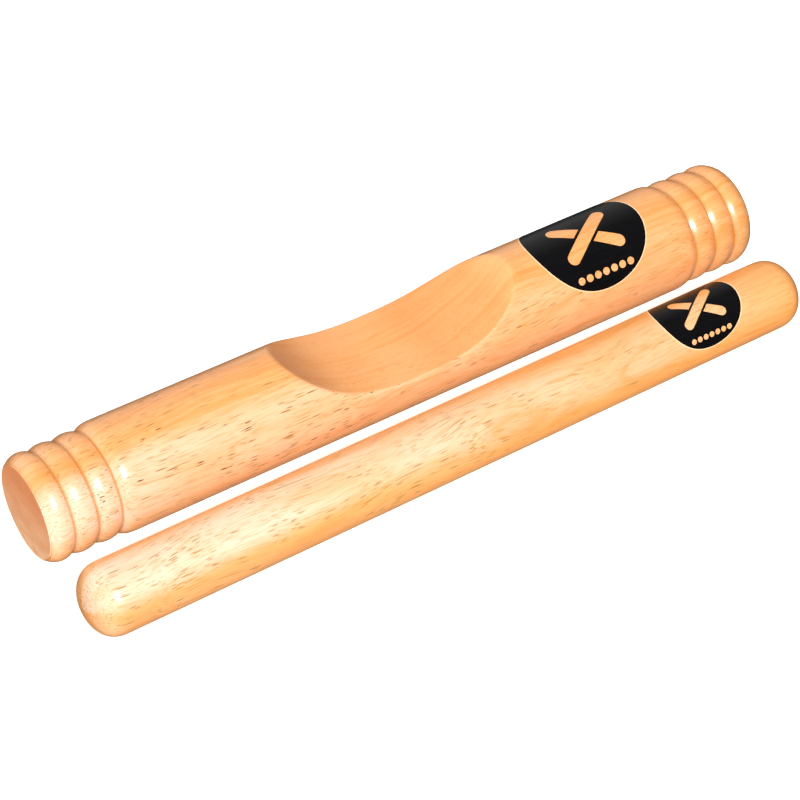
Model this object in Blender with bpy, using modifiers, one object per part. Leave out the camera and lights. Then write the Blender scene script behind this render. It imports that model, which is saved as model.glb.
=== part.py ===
"""Claves: a turned resonator stick with a scooped-out side, a plain round striker stick, and a foil label on each.

Metres, +Z up. The resonator lies along X with its scoop facing up. The striker lies beside it on the -Y side,
and both rest on z = 0. The origin is the middle of the underside of the pair's common box.
"""

import math

import bmesh
import bpy
from mathutils import Vector

# The resonator, a solid round stick with three beads turned on each end.
RESONATOR_LENGTH = 0.284
RESONATOR_RADIUS = 0.0195
END_FACE_RADIUS = 0.01655
BEAD_CREST_RADIUS = 0.0188
BEAD_GROOVE_RADIUS = 0.01763
OUTER_BEAD_WIDTH = 0.0085
INNER_BEAD_WIDTH = 0.0086
INNER_BEADS = 2
SHOULDER_LENGTH = 0.0079
SHOULDER_POWER = 4

# The scoop's depth along the stick is SCOOP_DEPTH * (1 - |x / SCOOP_HALF_LENGTH| ** SCOOP_POWER).
SCOOP_DEPTH = 0.01555
SCOOP_HALF_LENGTH = 0.0464
SCOOP_POWER = 2.5
SCOOP_CENTRE_X = -0.0014

# The striker, a plain round stick whose ends are squarish domes.
STRIKER_LENGTH = 0.285
STRIKER_RADIUS = 0.0125
DOME_LENGTH = 0.0109
DOME_POWER = 2.6

# Where the striker lies: the distance between the two axes, and the small angle of a stick put down by hand.
AXIS_SPACING = 0.0412
STRIKER_SHIFT_X = -0.0023
STRIKER_YAW = math.radians(0.3)

# The labels are round, wrapped on the sticks, and turned a little from straight up towards -Y.
LABEL_GAP = 0.0003
LABEL_THICKNESS = 0.0002
LABEL_TILT = math.radians(5.4)
RESONATOR_LABEL_RADIUS = 0.0224
RESONATOR_LABEL_X = 0.0771
STRIKER_LABEL_RADIUS = 0.0164
STRIKER_LABEL_X = 0.0985

# How finely the round shapes are cut into facets.
RESONATOR_SEGMENTS = 48
STRIKER_SEGMENTS = 36
BEAD_STEPS = 6
SHOULDER_STEPS = 5
DOME_STEPS = 8
SCOOP_STEPS = 28
LABEL_STEPS_ALONG = 12
LABEL_STEPS_ACROSS = 16
MERGE_DISTANCE = 0.00001
SHARP_ANGLE = math.radians(25)

WOOD_COLOUR = (0.82, 0.50, 0.23, 1.0)
FOIL_COLOUR = (0.012, 0.012, 0.013, 1.0)


def clear_scene():
    for obj in list(bpy.data.objects):
        bpy.data.objects.remove(obj, do_unlink=True)


def new_collection(name):
    collection = bpy.data.collections.new(name)
    bpy.context.scene.collection.children.link(collection)
    return collection


def material(name, colour, roughness, metallic=0.0):
    """A plain Principled BSDF material."""
    made = bpy.data.materials.new(name)
    made.use_nodes = True
    shader = made.node_tree.nodes["Principled BSDF"]
    shader.inputs["Base Color"].default_value = colour
    shader.inputs["Roughness"].default_value = roughness
    shader.inputs["Metallic"].default_value = metallic
    return made


def empty(name, parent, location=(0, 0, 0), yaw=0.0):
    made = bpy.data.objects.new(name, None)
    made.empty_display_size = 0.02
    made.parent = parent
    made.location = location
    made.rotation_euler = (0, 0, yaw)
    parts.objects.link(made)
    return made


def evaluated_mesh(obj):
    """The object's mesh with its modifiers applied."""
    bpy.context.view_layer.update()
    return bpy.data.meshes.new_from_object(obj.evaluated_get(bpy.context.evaluated_depsgraph_get()))


# Profiles: lists of (distance from the stick's end, radius), from the end inwards.


def bead_profile(width, outer_radius, inner_radius):
    """One bead, a single arc whose crest stands nearer its higher side. Its last point is left to its neighbour."""
    outer_drop = math.sqrt(BEAD_CREST_RADIUS - outer_radius)
    inner_drop = math.sqrt(BEAD_CREST_RADIUS - inner_radius)
    points = []
    for step in range(BEAD_STEPS):
        share = step / BEAD_STEPS
        drop = share * (outer_drop + inner_drop) - outer_drop
        points.append((width * share, BEAD_CREST_RADIUS - drop**2))
    return points


def resonator_end_profile():
    """The flat face's rim, the three beads, and the shoulder that rises to the full radius."""
    points = bead_profile(OUTER_BEAD_WIDTH, END_FACE_RADIUS, BEAD_GROOVE_RADIUS)
    start = OUTER_BEAD_WIDTH
    for _ in range(INNER_BEADS):
        bead = bead_profile(INNER_BEAD_WIDTH, BEAD_GROOVE_RADIUS, BEAD_GROOVE_RADIUS)
        points += [(start + along, radius) for along, radius in bead]
        start += INNER_BEAD_WIDTH
    for step in range(SHOULDER_STEPS + 1):
        share = step / SHOULDER_STEPS
        rise = (RESONATOR_RADIUS - BEAD_GROOVE_RADIUS) * (1 - share) ** SHOULDER_POWER
        points.append((start + SHOULDER_LENGTH * share, RESONATOR_RADIUS - rise))
    return [(0, 0)] + points


def striker_end_profile():
    """A dome from its tip to the full radius, on a superellipse."""
    points = []
    for step in range(DOME_STEPS + 1):
        turn = math.radians(90) * step / DOME_STEPS
        along = DOME_LENGTH * (1 - abs(math.cos(turn)) ** (2 / DOME_POWER))
        points.append((along, STRIKER_RADIUS * math.sin(turn)))
    return points


def turned_stick(name, length, end_profile, segments, parent):
    """A stick along X, alike at both ends, turned from its end profile with a Screw modifier."""
    top = [(radius, 0, length / 2 - along) for along, radius in end_profile]
    bottom = [(radius, 0, -height) for radius, _, height in reversed(top)]
    outline = top + bottom
    mesh = bpy.data.meshes.new(name)
    mesh.from_pydata(outline, [(i, i + 1) for i in range(len(outline) - 1)], [])
    stick = bpy.data.objects.new(name, mesh)
    stick.parent = parent
    stick.rotation_euler = (0, math.radians(90), 0)
    parts.objects.link(stick)
    turn = stick.modifiers.new("Turn", "SCREW")
    turn.axis = "Z"
    turn.steps = segments
    turn.render_steps = segments
    turn.use_merge_vertices = True
    turn.merge_threshold = MERGE_DISTANCE
    return stick


def scoop_cutter(parent):
    """The block that the scoop leaves empty: the scoop's long profile, extruded right across the stick."""
    overshoot = 1.15
    outline = []
    for step in range(SCOOP_STEPS + 1):
        share = overshoot * (2 * step / SCOOP_STEPS - 1)
        depth = SCOOP_DEPTH * (1 - abs(share) ** SCOOP_POWER)
        outline.append((SCOOP_HALF_LENGTH * share, RESONATOR_RADIUS - depth))
    roof = 2 * RESONATOR_RADIUS
    outline += [(outline[-1][0], roof), (outline[0][0], roof)]

    curve = bpy.data.curves.new("scoop_outline", "CURVE")
    curve.dimensions = "2D"
    curve.fill_mode = "BOTH"
    curve.extrude = 1.5 * RESONATOR_RADIUS
    spline = curve.splines.new("POLY")
    spline.points.add(len(outline) - 1)
    for point, (along, height) in zip(spline.points, outline, strict=True):
        point.co = (along, height, 0, 1)
    spline.use_cyclic_u = True
    drawn = bpy.data.objects.new("scoop_outline", curve)
    drawn.parent = parent
    drawn.location = (SCOOP_CENTRE_X, 0, 0)
    drawn.rotation_euler = (math.radians(90), 0, 0)
    cutters.objects.link(drawn)

    mesh = evaluated_mesh(drawn)
    weld = bmesh.new()
    weld.from_mesh(mesh)
    bmesh.ops.remove_doubles(weld, verts=weld.verts, dist=MERGE_DISTANCE)
    bmesh.ops.recalc_face_normals(weld, faces=weld.faces)
    weld.to_mesh(mesh)
    weld.free()
    cutter = bpy.data.objects.new("scoop_cutter", mesh)
    cutter.matrix_world = drawn.matrix_world
    cutter.hide_render = True
    cutter.display_type = "WIRE"
    cutters.objects.link(cutter)
    bpy.data.objects.remove(drawn, do_unlink=True)
    return cutter


def cut(obj, cutter):
    cutting = obj.modifiers.new("Scoop", "BOOLEAN")
    cutting.operation = "DIFFERENCE"
    cutting.solver = "EXACT"
    cutting.object = cutter


def finish(obj, finish_material):
    """Applies the modifiers, then shades the round surfaces smooth and leaves the real edges sharp."""
    mesh = evaluated_mesh(obj)
    obj.modifiers.clear()
    obj.data = mesh
    mesh.materials.clear()
    mesh.materials.append(finish_material)
    mesh.shade_smooth()
    mesh.set_sharp_from_angle(angle=SHARP_ANGLE)


def wrapped_label(name, label_radius, stick_radius, along, parent):
    """A round label bent around a stick that lies along X, a thin shell just clear of the wood."""
    inner_radius = stick_radius + LABEL_GAP
    disc = bmesh.new()
    bmesh.ops.create_grid(disc, x_segments=LABEL_STEPS_ALONG, y_segments=LABEL_STEPS_ACROSS, size=1)
    for vert in disc.verts:
        square_x, square_y, _ = vert.co
        disc_x = square_x * math.sqrt(1 - square_y**2 / 2)
        disc_y = square_y * math.sqrt(1 - square_x**2 / 2)
        angle = disc_y * label_radius / stick_radius
        vert.co = (
            disc_x * label_radius,
            inner_radius * math.sin(angle),
            inner_radius * math.cos(angle),
        )
    mesh = bpy.data.meshes.new(name)
    disc.to_mesh(mesh)
    disc.free()
    label = bpy.data.objects.new(name, mesh)
    label.parent = parent
    label.location = (along, 0, 0)
    label.rotation_euler = (LABEL_TILT, 0, 0)
    parts.objects.link(label)
    shell = label.modifiers.new("Thickness", "SOLIDIFY")
    shell.thickness = LABEL_THICKNESS
    shell.offset = 1.0
    return label


def stand_on_origin(root):
    """Moves the whole pair so that the middle of the underside of its box is at the origin."""
    bpy.context.view_layer.update()
    solids = [obj for obj in parts.objects if obj.type == "MESH"]
    points = [obj.matrix_world @ vert.co for obj in solids for vert in obj.data.vertices]
    low = Vector(min(point[axis] for point in points) for axis in range(3))
    high = Vector(max(point[axis] for point in points) for axis in range(3))
    middle = (low + high) / 2
    root.location -= Vector((middle.x, middle.y, low.z))
    bpy.context.view_layer.update()


clear_scene()
parts = new_collection("claves")
cutters = new_collection("cutters")

pair = empty("pair", None)
resonator_axis = empty("resonator_axis", pair, (0, 0, RESONATOR_RADIUS))
# The striker lifts straight up, along Z through this empty.
striker_lift = empty("striker_lift", pair, (STRIKER_SHIFT_X, -AXIS_SPACING, STRIKER_RADIUS), STRIKER_YAW)

resonator = turned_stick(
    "resonator_clave", RESONATOR_LENGTH, resonator_end_profile(), RESONATOR_SEGMENTS, resonator_axis
)
cut(resonator, scoop_cutter(resonator_axis))
finish(resonator, material("resonator_wood", WOOD_COLOUR, 0.35))

striker = turned_stick(
    "striker_clave", STRIKER_LENGTH, striker_end_profile(), STRIKER_SEGMENTS, striker_lift
)
finish(striker, material("striker_wood", WOOD_COLOUR, 0.35))

resonator_label = wrapped_label(
    "resonator_label", RESONATOR_LABEL_RADIUS, RESONATOR_RADIUS, RESONATOR_LABEL_X, resonator_axis
)
finish(resonator_label, material("resonator_foil", FOIL_COLOUR, 0.25))

striker_label = wrapped_label(
    "striker_label", STRIKER_LABEL_RADIUS, STRIKER_RADIUS, STRIKER_LABEL_X, striker_lift
)
finish(striker_label, material("striker_foil", FOIL_COLOUR, 0.25))

stand_on_origin(pair)
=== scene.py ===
"""The looks of a pair of claves: fine turned meshes, lacquered rubberwood and printed foil labels.

Lengths are in metres, except in the materials' patterns and in names that end in _MM.
Each stick is modelled along its own X axis, with its scoop or its label towards +Z, and then laid where the
frame says.
"""
import math

import bpy
import numpy as np
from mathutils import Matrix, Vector


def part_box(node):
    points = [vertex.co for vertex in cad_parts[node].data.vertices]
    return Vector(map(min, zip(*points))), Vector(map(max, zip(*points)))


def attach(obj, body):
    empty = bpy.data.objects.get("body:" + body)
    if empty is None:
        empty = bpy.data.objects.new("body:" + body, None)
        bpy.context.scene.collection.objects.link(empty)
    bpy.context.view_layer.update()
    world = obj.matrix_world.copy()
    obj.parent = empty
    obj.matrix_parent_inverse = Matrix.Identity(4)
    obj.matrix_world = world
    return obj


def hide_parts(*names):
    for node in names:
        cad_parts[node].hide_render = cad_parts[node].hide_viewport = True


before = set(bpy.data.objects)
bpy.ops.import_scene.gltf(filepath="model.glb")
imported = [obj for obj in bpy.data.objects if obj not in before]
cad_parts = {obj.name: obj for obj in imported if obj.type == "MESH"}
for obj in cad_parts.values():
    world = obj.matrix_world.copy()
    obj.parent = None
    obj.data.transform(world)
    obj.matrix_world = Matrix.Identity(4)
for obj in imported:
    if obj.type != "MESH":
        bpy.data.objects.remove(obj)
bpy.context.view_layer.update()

# Driving dimensions that the frame's boxes don't give, the same as in the CAD.
END_FACE_RADIUS = 0.01655
BEAD_CREST_RADIUS = 0.0188
BEAD_GROOVE_RADIUS = 0.01763
BEAD_WIDTHS = (0.0085, 0.0086, 0.0086)
SHOULDER_LENGTH = 0.0079
SHOULDER_POWER = 4
SCOOP_DEPTH = 0.01555
SCOOP_HALF_LENGTH = 0.0464
SCOOP_POWER = 2.5
SCOOP_CENTRE_X = -0.0014
DOME_LENGTH = 0.0109
DOME_POWER = 2.6
STRIKER_YAW = math.radians(0.3)
LABEL_TILT = math.radians(5.4)

# Small radii that only the visual meshes have.
FACE_EDGE_RADIUS = 0.0004
SCOOP_RIM_BLEND = 0.0011

# How finely the meshes are cut.
BEAD_STEPS = 26
SHOULDER_STEPS = 24
DOME_STEPS = 28
FACE_STEPS = 8
FACE_EDGE_STEPS = 5
SCOOP_COLUMNS = 26
BODY_COLUMNS = 54
SCOOP_RINGS = 130
PLAIN_RINGS = 22
BISECTION_STEPS = 22
STRIKER_COLUMNS = 144
STRIKER_RINGS = 60
LABEL_POINTS = 160
LABEL_STEPS = 26
MOTIF_STEPS = 6
MOTIF_TIP_STEPS = 14
DOT_POINTS = 28

# Edges that turn by more than this are shaded sharp.
SHARP_ANGLE = math.radians(35)

# The resonator's material slots after its lacquered wood.
FACE_SLOT = 1
SANDED_SLOT = 2

# How the resonator's faces crowd towards the scoop: the powers that space its columns, the share of its
# rings' spacing that is eased towards the scoop's ends, and how far past those ends the close rings go.
SCOOP_COLUMN_POWER = 1.8
BODY_COLUMN_POWER = 1.4
EASED_SHARE = 0.72
SCOOP_MARGIN = 0.003

# Half the angle between the columns that follow the scoop's rim: at the scoop's ends, far from it, and how
# far it takes to open from the one to the other. Past TANGENT_LIMIT the columns are spaced by angle instead
# of by tangent.
RIM_NARROWEST = math.radians(8)
RIM_WIDEST = math.radians(70)
RIM_EASING = 0.04
TANGENT_LIMIT = math.radians(85)

# The camera's place, from the point on the floor that it looks at.
CAMERA_TARGET_OFFSET = (-0.0004, -0.0031)
CAMERA_AZIMUTH = math.radians(-33.76)
CAMERA_ELEVATION = math.radians(41.59)
CAMERA_DISTANCE = 0.9291
CAMERA_LENS_MM = 121.2
CAMERA_SENSOR_MM = 36.0

# The labels: how far their layers stand off the wood, how far the print reaches past the CAD label, and how
# far the film reaches to either side of the print's edge.
FILM_LIFT = 0.00001
FILM_HEIGHT = 0.00004
PRINT_HEIGHT = 0.00006
MOTIF_HEIGHT = 0.00008
PRINT_MARGIN = 0.0002
FILM_MARGIN = 0.0004

# The motif. Its lengths are shares of the label's radius, but MOTIF_SPACING, the distance between the points
# along the crossed sticks' outlines, is a share of their width.
STICK_HALF_LENGTH = 0.625
STICK_WIDTH = 0.205
STICK_GAP = 0.045
STICKS_DROP = 0.07
STICK_SLANT = math.radians(35)
DOT_PITCH = 0.155
DOT_RADIUS = 0.06
DOTS_DROP = 0.735
DOTS_EACH_SIDE = 3
MOTIF_SPACING = 0.08

# The wood of each stick. Places are millimetres along the stick from its middle, angles are degrees from
# straight up towards the viewer, and colours are linear.
# - offset picks the piece of wood, and ring_lean is the direction through its growth rings.
# - tones are the deep, middle and light tones of its body.
# - The paler flank, partly paler wood and partly a painted sheen, faces flank_angle. It is full within
#   flank_core degrees of that and gone at flank_reach.
#   Along the stick it grows from fades_at to starts_at, and tip is the part that comes only near starts_at.
# - middle is how pale the flank is around the stick's middle, where it has turned by drift degrees.
#   all_round is how pale the whole stick is near starts_at.
# - threads, fine and bold say how strongly each kind of vessel shows. thread_length is how far apart the
#   threads are along the grain, and thread_radius is their radius as a share of their spacing.
# - beads says whether the stick has beads, with painted shade in the grooves between them.
RESONATOR_WOOD = {
    "offset": (310.0, 42.0, 17.0),
    "ring_lean": 85.0,
    "tones": ((0.81, 0.30, 0.076, 1.0), (0.83, 0.345, 0.103, 1.0), (0.85, 0.39, 0.142, 1.0)),
    "flank_angle": 66.0,
    "flank_reach": 48.0,
    "flank_core": 12.0,
    "fades_at": 80.0,
    "starts_at": -118.0,
    "tip": 0.3,
    "middle": 0.22,
    "drift": 0.0,
    "all_round": 0.0,
    "threads": 0.85,
    "thread_length": 24.0,
    "thread_radius": 0.31,
    "fine": 1.0,
    "bold": 1.0,
    "coat_roughness": 0.24,
    "beads": True,
}
STRIKER_WOOD = {
    "offset": (905.0, -63.0, 88.0),
    "ring_lean": 62.0,
    "tones": ((0.80, 0.275, 0.045, 1.0), (0.82, 0.32, 0.065, 1.0), (0.84, 0.36, 0.092, 1.0)),
    "flank_angle": 22.0,
    "flank_reach": 55.0,
    "flank_core": 14.0,
    "fades_at": 70.0,
    "starts_at": -120.0,
    "tip": 0.1,
    "middle": 0.45,
    "drift": 17.0,
    "all_round": 0.15,
    "threads": 1.0,
    "thread_length": 36.0,
    "thread_radius": 0.33,
    "fine": 0.85,
    "bold": 0.6,
    "coat_roughness": 0.36,
    "beads": False,
}

# The two finishes of the wood: how much of the paler flank (paler wood and painted sheen), the fibres and
# the vessels shows, the strength of the bumps, the specular level, and the two roughnesses that the fibres
# move between.
LACQUERED = {
    "pale": 1.0,
    "fibres": 0.45,
    "vessels": 1.0,
    "bump": 0.25,
    "specular": 0.15,
    "roughness": (0.36, 0.5),
}
SANDED = {
    "pale": 0.1,
    "fibres": 0.25,
    "vessels": 0.3,
    "bump": 0.4,
    "specular": 0.3,
    "roughness": (0.5, 0.62),
}
COAT_IOR = 1.55

# The other colours, linear. The scoop's painted shade, the scoop's amber and the underside's painted shade
# multiply what is there, and were set by place to match the photo.
# The paler flank's colour: partly paler wood and partly a painted sheen.
WOOD_PALE_AND_SHEEN = (0.87, 0.56, 0.38, 1.0)
WOOD_RING = (0.78, 0.30, 0.07, 1.0)
WOOD_FIBRE = (0.62, 0.25, 0.04, 1.0)
WOOD_THREAD = (0.36, 0.19, 0.025, 1.0)
WOOD_FINE_PORE = (0.20, 0.105, 0.01, 1.0)
WOOD_BOLD_PORE = (0.06, 0.033, 0.005, 1.0)
WOOD_SANDED = (0.84, 0.38, 0.15, 1.0)
# Painted shade in the grooves between the beads.
WOOD_GROOVE_SHADE = (0.52, 0.185, 0.022, 1.0)
# Painted shade: the underside's deeper, warmer tone.
WOOD_UNDERSIDE_PAINTED_SHADE = (1.0, 0.96, 0.70, 1.0)
# Painted shade on the scoop's end wall towards -X.
SCOOP_PAINTED_SHADE = (0.80, 0.76, 0.84, 1.0)
SCOOP_AMBER = (1.0, 0.84, 0.76, 1.0)
# Painted shade: the end face is darker towards the top and paler towards the bottom.
END_GRAIN_SHADED_TOP = (0.67, 0.225, 0.071, 1.0)
END_GRAIN_BOTTOM = (0.80, 0.43, 0.22, 1.0)
END_GRAIN_BAND = (0.60, 0.20, 0.06, 1.0)
END_GRAIN_DOT = (0.36, 0.13, 0.035, 1.0)
FOIL_DARK = (0.002, 0.002, 0.0024, 1.0)
FOIL_LIGHT = (0.005, 0.0045, 0.0052, 1.0)
FILM_DEEP = (0.93, 0.58, 0.30, 1.0)
FILM_PALE = (0.95, 0.66, 0.38, 1.0)
FLOOR_COLOUR = (0.9, 0.9, 0.9, 1.0)
WHITE = (1.0, 1.0, 1.0, 1.0)

# How big the patterns are along the grain and across it, in millimetres. RING_SIZE is along the stick and
# through the rings. GRAIN_BEND is how far the grain wanders in all, and RING_RISE is how fast the rings
# climb along the stick.
GRAIN_BEND_SIZE = (48.0, 40.0, 40.0)
GRAIN_BEND = (0.0, 10.0, 10.0)
RING_SIZE = (90.0, 1.6, 1.0)
RING_RISE = 0.03
FIBRE_SIZE = (12.0, 0.5, 0.5)
CLOUD_SIZE = (30.0, 10.0, 10.0)
PATCH_SIZE = (24.0, 6.0, 6.0)
END_BAND_SIZE = (60.0, 9.0, 3.5)
END_DOT_SIZE = (9.0, 0.7, 0.7)
FOIL_RIPPLE_SIZE = (6.0, 0.8, 0.8)
FILM_RIPPLE_SIZE = (1.5, 1.5, 1.5)

# Ramps on the patterns: where each starts and ends, then its low and high share. They are 0 and 1 if they
# aren't given, but FIBRES_TO_DARK takes its high share from the finish.
CLOUDS_TO_TONE = (0.35, 0.65)
CLOUDS_TO_SANDED = (0.35, 0.65, 0.35, 0.85)
CLOUDS_TO_PALE_AND_SHEEN = (0.3, 0.7, 0.72, 1.2)
RINGS_TO_LIGHT = (0.36, 0.64)
RINGS_TO_DARK = (0.42, 0.28, 0.0, 0.45)
FIBRES_TO_DARK = (0.52, 0.32)
PATCHES_TO_CROWD = (0.34, 0.56, 0.3, 1.0)
PATCHES_TO_KNOTS = (0.47, 0.62)
OPENNESS = (0.0, 1.4, 0.25, 1.0)
BANDS_TO_DARK = (0.60, 0.35, 0.0, 0.35)
DOTS_TO_DARK = (0.26, 0.10, 0.0, 0.3)

# Where a noise goes from one roughness to another, and the roughnesses.
NOISE_TO_ROUGHNESS = (0.3, 0.7)
END_GRAIN_ROUGHNESS = (0.6, 0.75)
FOIL_ROUGHNESS = (0.17, 0.23)
FILM_ROUGHNESS = (0.25, 0.4)

# Ramps along the stick, or up its end face, in millimetres, in the same order. The two for the beads are
# distances from the stick's middle.
MIDDLE_RISES = (-50.0, 10.0)
MIDDLE_FALLS = (165.0, 80.0)
VESSELS_THIN_OUT = (110.0, 10.0, 0.55, 1.0)
# Where the scoop's painted shade comes in, towards its end at -X.
SCOOP_PAINTED_SHADE_RISES = (-26.0, -43.0)
SCOOP_AMBER_RISES = (-6.0, 12.0)
SCOOP_AMBER_FALLS = (45.0, 34.0)
BEADS_START = (110.0, 114.0)
BEADS_END = (139.0, 136.0)
# Where the end face's painted shade goes from its top to its bottom.
END_FACE_PAINTED_SHADE = (15.0, -14.0)

# The paler flank's share at its palest, paler wood and painted sheen together, and how far before starts_at
# its tip comes in.
FULL_PALENESS_AND_SHEEN = 0.95
TIP_LENGTH = 35.0

# The underside's painted shade, which deepens the wood where it faces away from the lights: the angle it
# faces, then the degrees off that at which it ends and is full. The open-grained side faces OPEN_SIDE_TURN
# degrees past the paler flank, and OPEN_SIDE is where it ends and is full. OPEN_END_SHARE is how much being
# near the end at -X counts beside it.
UNDERSIDE_PAINTED_SHADE = (150.0, 62.0, 30.0)
OPEN_SIDE_TURN = 22.0
OPEN_SIDE = (78.0, 20.0)
OPEN_END_SHARE = 0.8

# Vessels: their spacing along and across the grain in millimetres, their radius as a share of that, a
# number that shifts them, and the share of them that doesn't show. The threads take the first and third
# from the stick. VESSEL_SHIFT is how far one unit of the shift moves them. VESSEL_CORE is the share of its
# radius within which a vessel is darkest, and VESSEL_FADE is the share of them that show only in part.
THREADS_ACROSS = 0.7
THREADS_SHIFT = 3.0
THREADS_EMPTY = 0.12
FINE_VESSELS = (11.0, 0.9, 0.28, 1.0, 0.24)
BOLD_VESSELS = (7.0, 1.2, 0.25, 2.0, 0.25)
VESSEL_SHIFT = (7.3, 3.1, 5.7)
VESSEL_CORE = 0.5
VESSEL_FADE = 0.5

# The painted shade in the grooves between the beads: how far above their bottom it reaches, in millimetres,
# and how strong it is.
GROOVE_REACH = 0.45
GROOVE_SHARE = 0.8

# How much the fibres and the vessels raise or sink the surface, and the bumps' heights in metres.
FIBRE_RELIEF = 0.35
FINE_RELIEF = -0.6
BOLD_RELIEF = -1.0
WOOD_BUMP = 0.00006
END_GRAIN_BUMP = 0.00008
FOIL_BUMP = 0.00003

# The studio, with strengths against a white floor of about 1. Each soft light has a lean along X, from -1
# at the left to 1 at the right, an angle from straight up towards the viewer, and a strength. It is full
# within SOFT_LIGHT_CORE degrees of its middle and gone at SOFT_LIGHT_EDGE. FLOOR_REACH is half the floor's
# side.
FLOOR_GLOW = 0.7
FLOOR_REACH = 6.0
SOFT_LIGHTS = (
    (-0.60, -60, 1.35),
    (0.15, -60, 0.75),
    (-0.60, -15, 0.45),
    (0.15, -15, 0.15),
    (0.75, 30, 0.12),
    (-0.60, 70, 1.50),
    (-0.60, 160, 1.80),
    (0.15, 160, 0.35),
)
SOFT_LIGHT_EDGE = 50
SOFT_LIGHT_CORE = 5
EVEN_LIGHT = 0.04
KEY_DIRECTION = (-0.165, -0.72, 0.67)
KEY_DISTANCE = 1.0
KEY_SIZE = 0.2
KEY_STRENGTH = 88.0


# The frame


def stick_place(node):
    """The middle of a stick's axis, its radius and its length, from the CAD node's box."""
    low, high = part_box(node)
    return (low + high) / 2, (high.z - low.z) / 2, high.x - low.x


RESONATOR_CENTRE, RESONATOR_RADIUS, RESONATOR_LENGTH = stick_place("resonator_clave")
STRIKER_CENTRE, STRIKER_RADIUS, STRIKER_LENGTH = stick_place("striker_clave")


# Nodes


class Graph:
    """A short way to add and join the nodes of one material or world."""

    def __init__(self, holder):
        self.holder = holder
        holder.use_nodes = True
        self.tree = holder.node_tree
        self.tree.nodes.clear()

    def add(self, kind, inputs=None, **settings):
        """A new node. An input's value is either a constant or another node's output."""
        made = self.tree.nodes.new("ShaderNode" + kind)
        for name, value in settings.items():
            setattr(made, name, value)
        for name, value in (inputs or {}).items():
            if isinstance(value, bpy.types.NodeSocket):
                self.tree.links.new(value, made.inputs[name])
            else:
                made.inputs[name].default_value = value
        return made

    def math(self, operation, first, second=0.0, clamp=False):
        made = self.add("Math", {0: first, 1: second}, operation=operation, use_clamp=clamp)
        return made.outputs[0]

    def vector(self, operation, first, second):
        return self.add("VectorMath", {0: first, 1: second}, operation=operation).outputs[0]

    def dot(self, first, second):
        return self.add("VectorMath", {0: first, 1: second}, operation="DOT_PRODUCT").outputs["Value"]

    def mix(self, factor, first, second, blend="MIX"):
        made = self.add("Mix", {0: factor, 6: first, 7: second}, data_type="RGBA", blend_type=blend)
        return made.outputs[2]

    def ramp(self, value, start, end, low=0.0, high=1.0):
        """value, eased from low at start to high at end."""
        made = self.add("MapRange", {0: value, 1: start, 2: end, 3: low, 4: high})
        made.interpolation_type = "SMOOTHSTEP"
        return made.outputs[0]

    def noise(self, point, size, detail=2.0, roughness=0.5, output="Fac"):
        """Noise with lumps of a size, in the point's own units."""
        scaled = self.vector("DIVIDE", point, size)
        made = self.add(
            "TexNoise", {"Vector": scaled, "Scale": 1.0, "Detail": detail, "Roughness": roughness}
        )
        return made.outputs[output]

    def finish(self, shader, output="OutputMaterial"):
        self.add(output, {"Surface": shader.outputs[0]})
        return self.holder


# Materials


def stick_coordinates(graph, offset):
    """The point on the stick in millimetres, X along the grain, and that point moved to another piece of
    wood."""
    point = graph.add("TexCoord").outputs["Object"]
    in_mm = graph.vector("MULTIPLY", point, (1000.0, 1000.0, 1000.0))
    return in_mm, graph.vector("ADD", in_mm, offset)


def across_stick(graph, place):
    """The part of a place that points straight out from the stick's axis."""
    return graph.vector("MULTIPLY", place, (0.0, 1.0, 1.0))


def vessel_layer(graph, grain, along, across, radius, shift, empty):
    """Vessels cut open by the surface, as short dashes: 0 between them, up to 1 in the darkest. empty is
    the share of them that don't show."""
    moved = graph.vector("ADD", grain, tuple(shift * step for step in VESSEL_SHIFT))
    cells = graph.vector("DIVIDE", moved, (along, across, across))
    voronoi = graph.add("TexVoronoi", {"Vector": cells, "Scale": 1.0, "Randomness": 1.0})
    inside = graph.ramp(voronoi.outputs["Distance"], radius, radius * VESSEL_CORE)
    chance = graph.add("SeparateColor", {0: voronoi.outputs["Color"]}).outputs[0]
    return graph.math("MULTIPLY", inside, graph.ramp(chance, empty, min(1.0, empty + VESSEL_FADE)))


def facing(graph, place, angle, reach, core):
    """1 on the side of the stick that faces an angle from straight up towards the viewer, 0 on the other
    side. It is full within core degrees of that angle and gone at reach degrees."""
    turn = math.radians(angle)
    across = across_stick(graph, place)
    outward = graph.add("VectorMath", {0: across}, operation="NORMALIZE").outputs[0]
    aligned = graph.dot(outward, (0.0, -math.sin(turn), math.cos(turn)))
    return graph.ramp(aligned, math.cos(math.radians(reach)), math.cos(math.radians(core)))


def wandering_grain(graph, point):
    """The point moved a little, so that the rings and the vessels slant and curve against the stick."""
    bend = graph.noise(point, GRAIN_BEND_SIZE, detail=1.0, output="Color")
    bend = graph.vector("SUBTRACT", bend, (0.5, 0.5, 0.5))
    return graph.vector("ADD", point, graph.vector("MULTIPLY", bend, GRAIN_BEND))


def growth_rings(graph, grain, along, lean):
    """Growth rings are sheets seen edge on, so depth through them is one number."""
    turn = math.radians(lean)
    depth = graph.dot(grain, (RING_RISE, -math.sin(turn), math.cos(turn)))
    sheet = graph.add("CombineXYZ", {0: along, 1: depth}).outputs[0]
    return graph.noise(sheet, RING_SIZE, detail=3.0, roughness=0.55)


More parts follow.
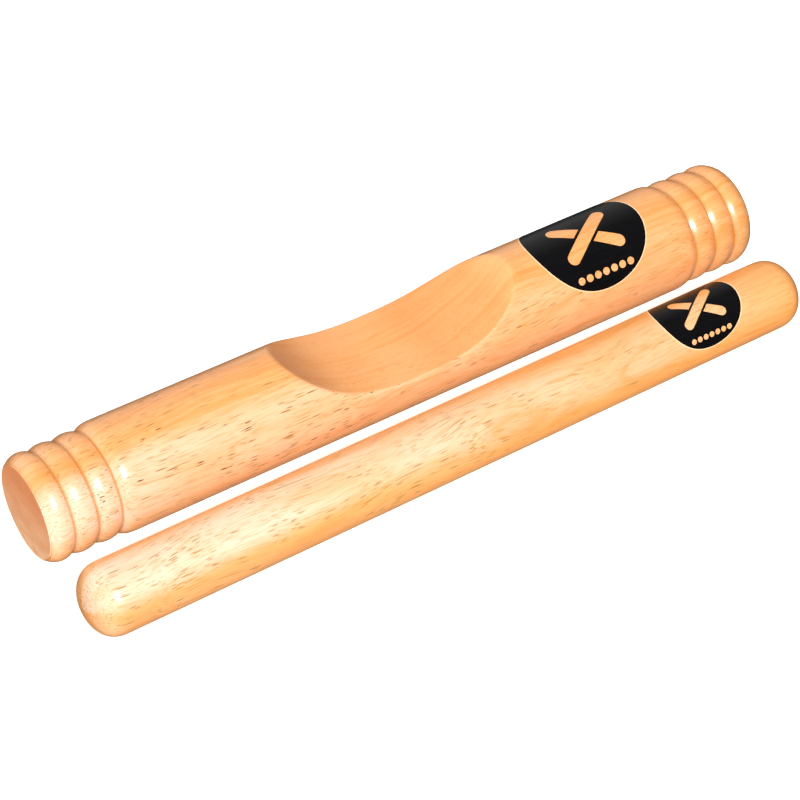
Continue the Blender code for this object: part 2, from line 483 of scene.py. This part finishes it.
def pale_wood_and_sheen(graph, place, along, end, clouds, kind):
    """How pale the wood is, partly its own paler colour and partly a painted sheen: along the paler flank,
    and a little all round near the end at -X.
    """
    angle, reach, core = kind["flank_angle"], kind["flank_reach"], kind["flank_core"]
    tip = graph.ramp(along, kind["starts_at"] + TIP_LENGTH, kind["starts_at"], 0.0, kind["tip"])
    at_end = graph.math("ADD", tip, graph.math("MULTIPLY", end, FULL_PALENESS_AND_SHEEN - kind["tip"]))
    at_end = graph.math("MULTIPLY", facing(graph, place, angle, reach, core), at_end)
    at_middle = graph.math("MULTIPLY", graph.ramp(along, *MIDDLE_RISES), graph.ramp(along, *MIDDLE_FALLS))
    at_middle = graph.math("MULTIPLY", at_middle, kind["middle"])
    at_middle = graph.math("MULTIPLY", facing(graph, place, angle + kind["drift"], reach, core), at_middle)
    total = graph.math("ADD", at_end, at_middle)
    total = graph.math("ADD", total, graph.math("MULTIPLY", end, kind["all_round"]))
    return graph.math("MULTIPLY", total, graph.ramp(clouds, *CLOUDS_TO_PALE_AND_SHEEN), clamp=True)


def vessels(graph, place, point, grain, along, end, kind, strength):
    """The three kinds of vessel, crowded in some stretches and sparse in others."""
    open_side = facing(graph, place, kind["flank_angle"] + OPEN_SIDE_TURN, *OPEN_SIDE)
    openness = graph.math("ADD", graph.math("MULTIPLY", end, OPEN_END_SHARE), open_side)
    openness = graph.ramp(openness, *OPENNESS)
    openness = graph.math("MULTIPLY", openness, graph.ramp(along, *VESSELS_THIN_OUT))
    patches = graph.noise(point, PATCH_SIZE, detail=1.0)
    crowd = graph.math("MULTIPLY", graph.ramp(patches, *PATCHES_TO_CROWD), openness)
    knots = graph.math("MULTIPLY", graph.ramp(patches, *PATCHES_TO_KNOTS), openness)
    length = kind["thread_length"]
    radius = kind["thread_radius"]
    threads = vessel_layer(graph, grain, length, THREADS_ACROSS, radius, THREADS_SHIFT, THREADS_EMPTY)
    fine = vessel_layer(graph, grain, *FINE_VESSELS)
    bold = vessel_layer(graph, grain, *BOLD_VESSELS)
    threads = graph.math("MULTIPLY", threads, graph.math("MULTIPLY", crowd, kind["threads"] * strength))
    fine = graph.math("MULTIPLY", fine, graph.math("MULTIPLY", crowd, kind["fine"] * strength))
    bold = graph.math("MULTIPLY", bold, graph.math("MULTIPLY", knots, kind["bold"] * strength))
    return threads, fine, bold


def scoop_painted_shade_and_amber(graph, along, wood):
    """The sanded wood, with a painted shade on the scoop's end towards -X, whose wall faces away from the
    lights, and a deeper amber in its other half. Both were set by place to match the photo."""
    end_wall_shade = graph.ramp(along, *SCOOP_PAINTED_SHADE_RISES)
    rises = graph.ramp(along, *SCOOP_AMBER_RISES)
    falls = graph.ramp(along, *SCOOP_AMBER_FALLS)
    amber = graph.math("MULTIPLY", rises, falls)
    wood = graph.mix(end_wall_shade, wood, SCOOP_PAINTED_SHADE, "MULTIPLY")
    return graph.mix(amber, wood, SCOOP_AMBER, "MULTIPLY")


def groove_painted_shade(graph, place, along, wood):
    """Painted shade in the grooves between the beads, which deepens their tone."""
    across = across_stick(graph, place)
    from_axis = graph.add("VectorMath", {0: across}, operation="LENGTH").outputs["Value"]
    bottom = BEAD_GROOVE_RADIUS * 1000
    groove_shade = graph.ramp(from_axis, bottom + GROOVE_REACH, bottom, 0.0, GROOVE_SHARE)
    from_middle = graph.math("ABSOLUTE", along)
    in_beads = graph.math(
        "MULTIPLY", graph.ramp(from_middle, *BEADS_START), graph.ramp(from_middle, *BEADS_END)
    )
    return graph.mix(graph.math("MULTIPLY", groove_shade, in_beads), wood, WOOD_GROOVE_SHADE)


def rubberwood(name, kind, finish):
    """Rubberwood: growth rings that rise and fall through the stick, long fibres, short dark vessels, and
    one paler and more open-grained flank near the end at -X, paler partly in its wood and partly by a
    painted sheen. It is either lacquered or sanded."""
    graph = Graph(bpy.data.materials.new(name))
    sanded = finish is SANDED
    place, point = stick_coordinates(graph, kind["offset"])
    along = graph.add("SeparateXYZ", {0: place}).outputs[0]
    grain = wandering_grain(graph, point)
    rings = growth_rings(graph, grain, along, kind["ring_lean"])
    fibres = graph.noise(grain, FIBRE_SIZE, roughness=0.6)
    clouds = graph.noise(grain, CLOUD_SIZE)
    end = graph.ramp(along, kind["fades_at"], kind["starts_at"])

    deep, middle, light = kind["tones"]
    pale = graph.math("MULTIPLY", pale_wood_and_sheen(graph, place, along, end, clouds, kind), finish["pale"])
    wood = graph.mix(graph.ramp(clouds, *CLOUDS_TO_TONE), deep, middle)
    wood = graph.mix(graph.ramp(rings, *RINGS_TO_LIGHT), wood, light)
    # The paler flank: partly paler wood, partly a painted sheen.
    wood = graph.mix(pale, wood, WOOD_PALE_AND_SHEEN)
    wood = graph.mix(graph.ramp(rings, *RINGS_TO_DARK), wood, WOOD_RING)
    # Painted shade on the underside, where it faces away from the lights.
    wood = graph.mix(facing(graph, place, *UNDERSIDE_PAINTED_SHADE), wood, WOOD_UNDERSIDE_PAINTED_SHADE, "MULTIPLY")
    if sanded:
        wood = graph.mix(graph.ramp(clouds, *CLOUDS_TO_SANDED), wood, WOOD_SANDED)
    wood = graph.mix(graph.ramp(fibres, *FIBRES_TO_DARK, 0.0, finish["fibres"]), wood, WOOD_FIBRE)

    threads, fine, bold = vessels(graph, place, point, grain, along, end, kind, finish["vessels"])
    wood = graph.mix(threads, wood, WOOD_THREAD)
    wood = graph.mix(fine, wood, WOOD_FINE_PORE)
    wood = graph.mix(bold, wood, WOOD_BOLD_PORE)
    if sanded:
        wood = scoop_painted_shade_and_amber(graph, along, wood)
    elif kind["beads"]:
        wood = groove_painted_shade(graph, place, along, wood)

    height = graph.math("MULTIPLY", fibres, FIBRE_RELIEF)
    height = graph.math("ADD", height, graph.math("MULTIPLY", fine, FINE_RELIEF))
    height = graph.math("ADD", height, graph.math("MULTIPLY", bold, BOLD_RELIEF))
    bump = graph.add("Bump", {"Height": height, "Strength": finish["bump"], "Distance": WOOD_BUMP})
    inputs = {
        "Base Color": wood,
        "Normal": bump.outputs[0],
        "Specular IOR Level": finish["specular"],
        "Roughness": graph.ramp(fibres, *NOISE_TO_ROUGHNESS, *finish["roughness"]),
    }
    if not sanded:
        inputs.update({"Coat Weight": 1.0, "Coat Roughness": kind["coat_roughness"], "Coat IOR": COAT_IOR})
    return graph.finish(graph.add("BsdfPrincipled", inputs))


def end_grain(name, kind):
    """The bare end face: fine dots, faint growth bands, and a painted shade that leaves it darker at the top
    and paler towards the bottom.
    """
    graph = Graph(bpy.data.materials.new(name))
    place, point = stick_coordinates(graph, kind["offset"])
    bands = graph.noise(point, END_BAND_SIZE)
    cells = graph.vector("DIVIDE", point, END_DOT_SIZE)
    dots = graph.add("TexVoronoi", {"Vector": cells, "Scale": 1.0}).outputs["Distance"]
    dots = graph.ramp(dots, *DOTS_TO_DARK)
    up = graph.add("SeparateXYZ", {0: place}).outputs[2]
    # Painted shade, darker at the top of the end face.
    wood = graph.mix(graph.ramp(up, *END_FACE_PAINTED_SHADE), END_GRAIN_SHADED_TOP, END_GRAIN_BOTTOM)
    wood = graph.mix(graph.ramp(bands, *BANDS_TO_DARK), wood, END_GRAIN_BAND)
    wood = graph.mix(dots, wood, END_GRAIN_DOT)
    bump = graph.add("Bump", {"Height": dots, "Strength": 0.3, "Distance": END_GRAIN_BUMP}, invert=True)
    roughness = graph.ramp(bands, *NOISE_TO_ROUGHNESS, *END_GRAIN_ROUGHNESS)
    inputs = {"Base Color": wood, "Roughness": roughness, "Normal": bump.outputs[0]}
    return graph.finish(graph.add("BsdfPrincipled", inputs))


def black_foil():
    """Glossy black print, with the faint unevenness of foil over wood."""
    graph = Graph(bpy.data.materials.new("black_foil"))
    place, _ = stick_coordinates(graph, (0.0, 0.0, 0.0))
    ripple = graph.noise(place, FOIL_RIPPLE_SIZE)
    bump = graph.add("Bump", {"Height": ripple, "Strength": 0.2, "Distance": FOIL_BUMP})
    inputs = {
        "Base Color": graph.mix(ripple, FOIL_DARK, FOIL_LIGHT),
        "Roughness": graph.ramp(ripple, *NOISE_TO_ROUGHNESS, *FOIL_ROUGHNESS),
        "Normal": bump.outputs[0],
        "Specular IOR Level": 0.13,
    }
    return graph.finish(graph.add("BsdfPrincipled", inputs))


def clear_film():
    """The bare edge of the label's carrier film, which catches the light as a thin pale line."""
    graph = Graph(bpy.data.materials.new("clear_film"))
    place, _ = stick_coordinates(graph, (0.0, 0.0, 0.0))
    ripple = graph.noise(place, FILM_RIPPLE_SIZE)
    inputs = {
        "Base Color": graph.mix(ripple, FILM_DEEP, FILM_PALE),
        "Roughness": graph.ramp(ripple, *NOISE_TO_ROUGHNESS, *FILM_ROUGHNESS),
    }
    return graph.finish(graph.add("BsdfPrincipled", inputs))


# Outlines: pairs of (distance from the stick's end, radius)


def bead_points(width, outer_radius):
    """One bead, from the radius on its outer side, over its crest, to just before the groove on its inner
    side."""
    outer_drop = math.sqrt(BEAD_CREST_RADIUS - outer_radius)
    inner_drop = math.sqrt(BEAD_CREST_RADIUS - BEAD_GROOVE_RADIUS)
    points = []
    for step in range(BEAD_STEPS):
        share = step / BEAD_STEPS
        drop = share * (outer_drop + inner_drop) - outer_drop
        points.append((width * share, BEAD_CREST_RADIUS - drop**2))
    return points


def resonator_end_outline():
    """From the rim of the end face, over the beads and the shoulder, to the full radius."""
    points = []
    start = 0.0
    outer = END_FACE_RADIUS
    for width in BEAD_WIDTHS:
        points += [(start + along, radius) for along, radius in bead_points(width, outer)]
        start += width
        outer = BEAD_GROOVE_RADIUS
    for step in range(SHOULDER_STEPS + 1):
        share = step / SHOULDER_STEPS
        rise = (RESONATOR_RADIUS - BEAD_GROOVE_RADIUS) * (1 - share) ** SHOULDER_POWER
        points.append((start + SHOULDER_LENGTH * share, RESONATOR_RADIUS - rise))
    return [(max(along, FACE_EDGE_RADIUS), radius) for along, radius in points]


def dome_outline():
    points = []
    for step in range(1, DOME_STEPS + 1):
        turn = math.radians(90) * step / DOME_STEPS
        along = DOME_LENGTH * (1 - abs(math.cos(turn)) ** (2 / DOME_POWER))
        points.append((along, STRIKER_RADIUS * math.sin(turn)))
    return points


# Meshes


def mesh_object(name, verts, faces, materials):
    mesh = bpy.data.meshes.new(name)
    mesh.from_pydata([tuple(v) for v in verts], [], faces)
    for made in materials:
        mesh.materials.append(made)
    mesh.shade_smooth()
    mesh.set_sharp_from_angle(angle=SHARP_ANGLE)
    made = bpy.data.objects.new(name, mesh)
    bpy.context.scene.collection.objects.link(made)
    return made


def lofted(name, rings, materials, face_rings=0):
    """A closed solid through rings of points, each end closed by a fan. The first and last face_rings bands
    of faces, and the fans, take the second material if there is one."""
    count = len(rings[0])
    verts = [point for ring in rings for point in ring]
    faces = []
    slots = []
    for ring in range(len(rings) - 1):
        end_band = ring < face_rings or ring >= len(rings) - 1 - face_rings
        for i in range(count):
            a = ring * count + i
            b = ring * count + (i + 1) % count
            faces.append((a, b, b + count, a + count))
            slots.append(FACE_SLOT if end_band and len(materials) > 1 else 0)
    for ring, centre_x in ((0, rings[0][0][0]), (len(rings) - 1, rings[-1][0][0])):
        centre = len(verts)
        verts.append((centre_x, 0.0, 0.0))
        for i in range(count):
            a = ring * count + i
            b = ring * count + (i + 1) % count
            faces.append((b, a, centre) if ring == 0 else (a, b, centre))
            slots.append(FACE_SLOT if len(materials) > 1 else 0)
    made = mesh_object(name, verts, faces, materials)
    made.data.polygons.foreach_set("material_index", slots)
    return made


def scoop_height(x):
    """The scoop floor's height above the stick's axis."""
    share = abs(x - SCOOP_CENTRE_X) / SCOOP_HALF_LENGTH
    return RESONATOR_RADIUS - SCOOP_DEPTH * (1 - share**SCOOP_POWER)


def rim_angle(x):
    """Half the angle that the scoop's rim spans. Past the scoop's ends it opens slowly, to spread the
    columns out again."""
    floor = scoop_height(x)
    if floor < RESONATOR_RADIUS:
        return max(RIM_NARROWEST, math.acos(floor / RESONATOR_RADIUS))
    past = min(1.0, (abs(x - SCOOP_CENTRE_X) - SCOOP_HALF_LENGTH) / RIM_EASING)
    return RIM_NARROWEST + (RIM_WIDEST - RIM_NARROWEST) * past * past * (3 - 2 * past)


def column_angles(x):
    """Angles from straight up at which a ring has its points, crowded beside the scoop's rim."""
    rim = rim_angle(x)
    half = []
    for i in range(SCOOP_COLUMNS):
        share = 1 - (1 - i / SCOOP_COLUMNS) ** SCOOP_COLUMN_POWER
        half.append(math.atan(share * math.tan(rim)) if rim < TANGENT_LIMIT else share * rim)
    for i in range(BODY_COLUMNS + 1):
        half.append(rim + (math.pi - rim) * (i / BODY_COLUMNS) ** BODY_COLUMN_POWER)
    return half + [-angle for angle in reversed(half[1:-1])]


def scooped_radius(x, angle):
    """How far the wood reaches from the axis, with the scoop's rim rounded over."""
    up = math.cos(angle)
    floor = scoop_height(x)
    share = abs(x - SCOOP_CENTRE_X) / SCOOP_HALF_LENGTH
    slope = SCOOP_DEPTH * SCOOP_POWER * share ** (SCOOP_POWER - 1) / SCOOP_HALF_LENGTH
    low = 0.0
    high = RESONATOR_RADIUS
    for _ in range(BISECTION_STEPS):
        middle = (low + high) / 2
        in_stick = RESONATOR_RADIUS - middle
        under_floor = (floor - middle * up) / math.hypot(1, slope)
        blend = min(1.0, max(0.0, 0.5 + 0.5 * (under_floor - in_stick) / SCOOP_RIM_BLEND))
        depth = under_floor + (in_stick - under_floor) * blend - SCOOP_RIM_BLEND * blend * (1 - blend)
        if depth > 0:
            low = middle
        else:
            high = middle
    return (low + high) / 2


def resonator_stations():
    """Where along the middle stretch the resonator has its rings, closest at the scoop's two ends."""
    half = RESONATOR_LENGTH / 2 - sum(BEAD_WIDTHS) - SHOULDER_LENGTH
    start = SCOOP_CENTRE_X - SCOOP_HALF_LENGTH - SCOOP_MARGIN
    end = SCOOP_CENTRE_X + SCOOP_HALF_LENGTH + SCOOP_MARGIN
    stations = list(np.linspace(-half, start, PLAIN_RINGS)[1:])
    for i in range(1, SCOOP_RINGS):
        share = i / SCOOP_RINGS
        eased = EASED_SHARE * (1 - math.cos(math.pi * share)) / 2 + (1 - EASED_SHARE) * share
        stations.append(start + (end - start) * eased)
    stations += list(np.linspace(end, half, PLAIN_RINGS)[:-1])
    return stations


def ring_at(x, radius, angles):
    return [(x, -radius * math.sin(angle), radius * math.cos(angle)) for angle in angles]


def scooped_ring(x, angles):
    """A ring of the resonator's middle stretch. Away from the scoop it is a plain circle."""
    if abs(x - SCOOP_CENTRE_X) >= SCOOP_HALF_LENGTH + SCOOP_MARGIN:
        return ring_at(x, RESONATOR_RADIUS, angles)
    ring = []
    for angle in angles:
        radius = scooped_radius(x, angle)
        ring.append((x, -radius * math.sin(angle), radius * math.cos(angle)))
    return ring


def end_face_rings(x, inward, angles):
    """Rings across the resonator's flat end face, from near its centre to its rounded rim."""
    flat = END_FACE_RADIUS - FACE_EDGE_RADIUS
    rings = [ring_at(x, flat * (step + 1) / FACE_STEPS, angles) for step in range(FACE_STEPS)]
    for step in range(1, FACE_EDGE_STEPS):
        turn = math.radians(90) * step / FACE_EDGE_STEPS
        radius = flat + FACE_EDGE_RADIUS * math.sin(turn)
        rings.append(ring_at(x + inward * FACE_EDGE_RADIUS * (1 - math.cos(turn)), radius, angles))
    return rings


def build_resonator(wood, face, sanded):
    half = RESONATOR_LENGTH / 2
    outline = resonator_end_outline()
    angles = column_angles(half)
    left = end_face_rings(-half, 1, angles)
    left += [ring_at(-half + along, radius, angles) for along, radius in outline]
    right = end_face_rings(half, -1, angles)
    right += [ring_at(half - along, radius, angles) for along, radius in outline]
    middle = [scooped_ring(x, column_angles(x)) for x in resonator_stations()]
    rings = left + middle + right[::-1]
    made = lofted("resonator_wood", rings, [wood, face, sanded], face_rings=FACE_STEPS)
    columns = len(angles)
    floor_columns = list(range(SCOOP_COLUMNS)) + list(range(columns - SCOOP_COLUMNS, columns))
    in_scoop = [scoop_height(ring[0][0]) < RESONATOR_RADIUS for ring in rings]
    for ring in range(len(left), len(left) + len(middle) - 1):
        if in_scoop[ring] and in_scoop[ring + 1]:
            for column in floor_columns:
                made.data.polygons[ring * columns + column].material_index = SANDED_SLOT
    return made


def build_striker(wood):
    half = STRIKER_LENGTH / 2
    angles = [math.tau * i / STRIKER_COLUMNS for i in range(STRIKER_COLUMNS)]
    outline = dome_outline()
    left = [ring_at(-half + along, radius, angles) for along, radius in outline]
    right = [ring_at(half - along, radius, angles) for along, radius in outline]
    reach = half - DOME_LENGTH
    stations = np.linspace(-reach, reach, STRIKER_RINGS)[1:-1]
    middle = [ring_at(x, STRIKER_RADIUS, angles) for x in stations]
    return lofted("striker_wood", left + middle + right[::-1], [wood])


def lay(piece, centre, yaw, body, node):
    """Puts a piece made in stick coordinates where its stick lies."""
    piece.location = centre
    piece.rotation_euler = (0, 0, yaw)
    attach(piece, body)
    if node:
        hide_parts(node)


# Labels


def wrapped(along, up, stick_radius, height):
    """A point of a flat label, bent around the stick and tilted towards the viewer."""
    angle = LABEL_TILT - up / stick_radius
    radius = stick_radius + height
    return (along, -radius * math.sin(angle), radius * math.cos(angle))


def patch(rim, stick_radius, low, high, steps_out):
    """The vertices and faces of a thin closed patch bent around the stick, inside a flat rim of points."""
    centre = (sum(a for a, _ in rim) / len(rim), sum(u for _, u in rim) / len(rim))
    count = len(rim)
    levels = [(step / steps_out, high) for step in range(1, steps_out + 1)]
    levels += [(share, low) for share, _ in reversed(levels)]
    verts = []
    for share, height in levels:
        for a, u in rim:
            flat = (centre[0] + (a - centre[0]) * share, centre[1] + (u - centre[1]) * share)
            verts.append(wrapped(*flat, stick_radius, height))
    faces = []
    for level in range(len(levels) - 1):
        for i in range(count):
            a = level * count + i
            b = level * count + (i + 1) % count
            faces.append((a, a + count, b + count, b))
    last = (len(levels) - 1) * count
    top = len(verts)
    bottom = top + 1
    verts += [wrapped(*centre, stick_radius, high), wrapped(*centre, stick_radius, low)]
    faces += [(top, i, (i + 1) % count) for i in range(count)]
    faces += [(bottom, last + (i + 1) % count, last + i) for i in range(count)]
    return verts, faces


def band(radius_in, radius_out, centre, stick_radius, low, high):
    """The vertices and faces of a thin closed ring bent around the stick."""
    corners = ((radius_in, low), (radius_in, high), (radius_out, high), (radius_out, low))
    verts = []
    for radius, height in corners:
        verts += [wrapped(a, u, stick_radius, height) for a, u in circle(centre, radius, LABEL_POINTS)]
    faces = []
    for level in range(len(corners)):
        here = level * LABEL_POINTS
        following = (level + 1) % len(corners) * LABEL_POINTS
        for i in range(LABEL_POINTS):
            j = (i + 1) % LABEL_POINTS
            faces.append((here + i, following + i, following + j, here + j))
    return verts, faces


def circle(centre, radius, count):
    turns = [math.tau * i / count for i in range(count)]
    return [(centre[0] + radius * math.cos(t), centre[1] + radius * math.sin(t)) for t in turns]


def filled_in(points, spacing):
    """The same closed outline with points added along its straight runs."""
    filled = []
    for first, second in zip(points, points[1:] + points[:1]):
        parts = max(1, round(math.dist(first, second) / spacing))
        for part in range(parts):
            share = part / parts
            filled.append(tuple(a + (b - a) * share for a, b in zip(first, second)))
    return filled


def crossed_sticks(centre, size):
    """The outlines of two crossed sticks, the lower one parted where the upper one lies on it."""
    half = STICK_HALF_LENGTH * size
    width = STICK_WIDTH * size
    gap = STICK_GAP * size
    crossing = 2 * STICK_SLANT
    tip = [math.radians(90 - 180 * i / MOTIF_TIP_STEPS) for i in range(MOTIF_TIP_STEPS + 1)]
    dome = [(half - width / 2 + width / 2 * math.cos(t), width / 2 * math.sin(t)) for t in tip]
    edges = (-width / 2, width / 2)
    cut = [((width / 2 + gap + v * math.cos(crossing)) / math.sin(crossing), v) for v in edges]
    whole = dome + [(-u, -v) for u, v in dome]
    pieces = ((whole, STICK_SLANT), (dome + cut, -STICK_SLANT), (dome + cut, math.pi - STICK_SLANT))
    outlines = []
    for outline, turn in pieces:
        outline = filled_in(outline, MOTIF_SPACING * width)
        turned = [
            (u * math.cos(turn) - v * math.sin(turn), u * math.sin(turn) + v * math.cos(turn))
            for u, v in outline
        ]
        outlines.append([(centre[0] + a, centre[1] + u) for a, u in reversed(turned)])
    return outlines


def dot_row(centre, size):
    pitch = DOT_PITCH * size
    places = range(-DOTS_EACH_SIDE, DOTS_EACH_SIDE + 1)
    return [circle((centre[0] + pitch * i, centre[1]), DOT_RADIUS * size, DOT_POINTS) for i in places]


def area_sign(rim):
    """Above 0 for an outline that runs anticlockwise."""
    return sum(a[0] * b[1] - b[0] * a[1] for a, b in zip(rim, rim[1:] + rim[:1]))


def joined_mesh(name, shapes, made_of):
    verts = []
    faces = []
    for shape_verts, shape_faces in shapes:
        start = len(verts)
        verts += shape_verts
        faces += [tuple(start + i for i in face) for face in shape_faces]
    return mesh_object(name, verts, faces, [made_of])


def build_label(stick, node, stick_radius, stick_centre, yaw, foil, film, wood):
    """The printed disc, the clear edge around it, and the motif where the wood shows through the print."""
    low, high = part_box(node)
    radius = (high.x - low.x) / 2 + PRINT_MARGIN
    middle = (low.x + high.x) / 2 - stick_centre.x
    centre = (middle, 0.0)
    disc = patch(circle(centre, radius, LABEL_POINTS), stick_radius, FILM_LIFT, PRINT_HEIGHT, LABEL_STEPS)
    edge = band(radius - FILM_MARGIN, radius + FILM_MARGIN, centre, stick_radius, FILM_LIFT, FILM_HEIGHT)
    rims = crossed_sticks((middle, -STICKS_DROP * radius), radius)
    rims += dot_row((middle, -DOTS_DROP * radius), radius)
    rims = [rim if area_sign(rim) > 0 else rim[::-1] for rim in rims]
    bottom = PRINT_HEIGHT - FILM_LIFT
    windows = [patch(rim, stick_radius, bottom, MOTIF_HEIGHT, MOTIF_STEPS) for rim in rims]
    pieces = (
        (joined_mesh(stick + "_foil", [disc], foil), node, "label_foil"),
        (joined_mesh(stick + "_film", [edge], film), None, "label_foil"),
        (joined_mesh(stick + "_motif", windows, wood), None, stick + "_wood"),
    )
    for piece, replaced, slot_name in pieces:
        lay(piece, stick_centre, yaw, stick, replaced)


# Stage, light and camera


def build_floor():
    """A pale floor that glows a little, so the sticks' shadows stay faint. It throws no light or shadow on
    them, and they don't reflect it."""
    graph = Graph(bpy.data.materials.new("pale_floor"))
    inputs = {
        "Base Color": FLOOR_COLOUR,
        "Roughness": 0.9,
        "Specular IOR Level": 0.1,
        "Emission Color": WHITE,
        "Emission Strength": FLOOR_GLOW,
    }
    made_of = graph.finish(graph.add("BsdfPrincipled", inputs))
    r = FLOOR_REACH
    corners = [(-r, -r, 0), (r, -r, 0), (r, r, 0), (-r, r, 0)]
    floor = mesh_object("floor", corners, [(0, 1, 2, 3)], [made_of])
    floor.visible_diffuse = False
    floor.visible_glossy = False
    floor.visible_shadow = False


def build_key_light():
    """A round light that faces the sticks and makes the small bright spots on them."""
    light = bpy.data.lights.new("key", "AREA")
    light.shape = "DISK"
    light.size = KEY_SIZE
    light.energy = KEY_STRENGTH * math.pi * KEY_SIZE**2
    made = bpy.data.objects.new("key", light)
    toward = Vector(KEY_DIRECTION).normalized()
    made.location = toward * KEY_DISTANCE
    made.rotation_euler = (-toward).to_track_quat("-Z", "Y").to_euler()
    bpy.context.scene.collection.objects.link(made)


def build_world():
    """The studio around the sticks: wide soft lights, each brightest in its middle, over a faint even
    light."""
    graph = Graph(bpy.data.worlds.new("studio"))
    look = graph.add("TexCoord").outputs["Generated"]
    edge = math.cos(math.radians(SOFT_LIGHT_EDGE))
    core = math.cos(math.radians(SOFT_LIGHT_CORE))
    strength = EVEN_LIGHT
    for lean, degrees, glow in SOFT_LIGHTS:
        turn = math.radians(degrees)
        rest = math.sqrt(1 - lean**2)
        aligned = graph.dot(look, (lean, -math.sin(turn) * rest, math.cos(turn) * rest))
        strength = graph.math("ADD", graph.ramp(aligned, edge, core, 0.0, glow), strength)
    light = graph.add("CombineColor", {0: strength, 1: strength, 2: strength}).outputs[0]
    background = graph.add("Background", {"Color": light})
    bpy.context.scene.world = graph.finish(background, "OutputWorld")


def build_camera():
    data = bpy.data.cameras.new("camera")
    data.sensor_width = CAMERA_SENSOR_MM
    data.lens = CAMERA_LENS_MM
    data.clip_start = 0.01
    data.clip_end = 50.0
    camera = bpy.data.objects.new("camera", data)
    level = math.cos(CAMERA_ELEVATION)
    back = Vector(
        (math.sin(CAMERA_AZIMUTH) * level, -math.cos(CAMERA_AZIMUTH) * level, math.sin(CAMERA_ELEVATION))
    )
    aside, away = CAMERA_TARGET_OFFSET
    target = Vector((RESONATOR_CENTRE.x + aside, RESONATOR_CENTRE.y + away, 0))
    camera.location = target + back * CAMERA_DISTANCE
    camera.rotation_euler = (-back).to_track_quat("-Z", "Y").to_euler()
    bpy.context.scene.collection.objects.link(camera)
    bpy.context.scene.camera = camera


# The build

resonator_wood_material = rubberwood("resonator_rubberwood", RESONATOR_WOOD, LACQUERED)
sanded_material = rubberwood("resonator_sanded", RESONATOR_WOOD, SANDED)
striker_wood_material = rubberwood("striker_rubberwood", STRIKER_WOOD, LACQUERED)
face_material = end_grain("resonator_end_grain", RESONATOR_WOOD)
foil_material = black_foil()
film_material = clear_film()

resonator = build_resonator(resonator_wood_material, face_material, sanded_material)
lay(resonator, RESONATOR_CENTRE, 0.0, "resonator", "resonator_clave")
build_label(
    "resonator", "resonator_label", RESONATOR_RADIUS, RESONATOR_CENTRE, 0.0,
    foil_material, film_material, resonator_wood_material,
)
striker = build_striker(striker_wood_material)
lay(striker, STRIKER_CENTRE, STRIKER_YAW, "striker", "striker_clave")
build_label(
    "striker", "striker_label", STRIKER_RADIUS, STRIKER_CENTRE, STRIKER_YAW,
    foil_material, film_material, striker_wood_material,
)
build_floor()
build_world()
build_key_light()
build_camera()
bpy.context.scene.view_settings.view_transform = "Standard"
